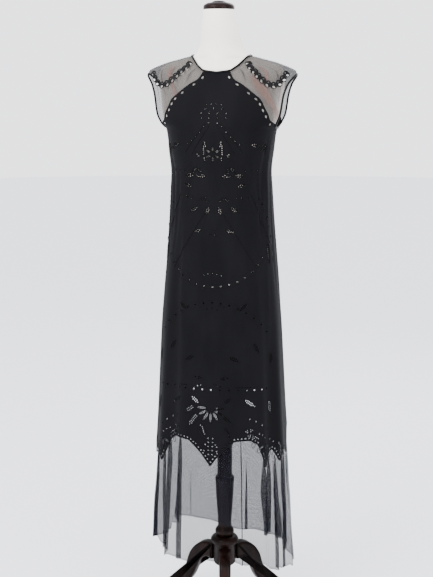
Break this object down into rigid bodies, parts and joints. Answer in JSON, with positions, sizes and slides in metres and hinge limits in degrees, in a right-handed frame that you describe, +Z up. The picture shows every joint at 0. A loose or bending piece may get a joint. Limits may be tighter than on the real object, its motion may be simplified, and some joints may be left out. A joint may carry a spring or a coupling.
{
  "type": "cocktail dress on a dress form",
  "caption": "Sleeveless black cutwork dress with a sheer yoke and a sheer high-low net hem, on a limbless cream dress form with a turned wooden tripod stand.",
  "frame": {"origin": "centre of the bounding box's footprint, on the floor", "axes": "+Z up the stand, -Y towards the front of the dress, +X towards the wearer's left"},
  "size_m": [0.4606, 0.43, 1.8693],
  "materials": {
    "cutwork_cloth": "black crepe with a faint sheen",
    "yoke_mesh": "sheer black mesh",
    "skirt_net": "sheer black net",
    "trim": "black corded embroidery",
    "jersey": "cream jersey",
    "dark_wood": "polished dark brown"
  },
  "bodies": {
    "root": {"body_front": "cutwork_cloth", "body_back": "cutwork_cloth", "yoke_front_left": "yoke_mesh", "yoke_front_right": "yoke_mesh", "yoke_back_left": "yoke_mesh", "yoke_back_right": "yoke_mesh", "applique_left": "trim", "applique_right": "trim", "neck_binding": "trim", "armhole_binding_left": "trim", "armhole_binding_right": "trim", "back_button": "trim", "net_front": "skirt_net", "net_back": "skirt_net", "torso": "jersey", "neck_cap": "dark_wood", "torso_base": "dark_wood", "column": "dark_wood", "sleeve": "dark_wood", "hub": "dark_wood", "leg_front": "dark_wood", "leg_left": "dark_wood", "leg_right": "dark_wood"}
  },
  "joints": []
}
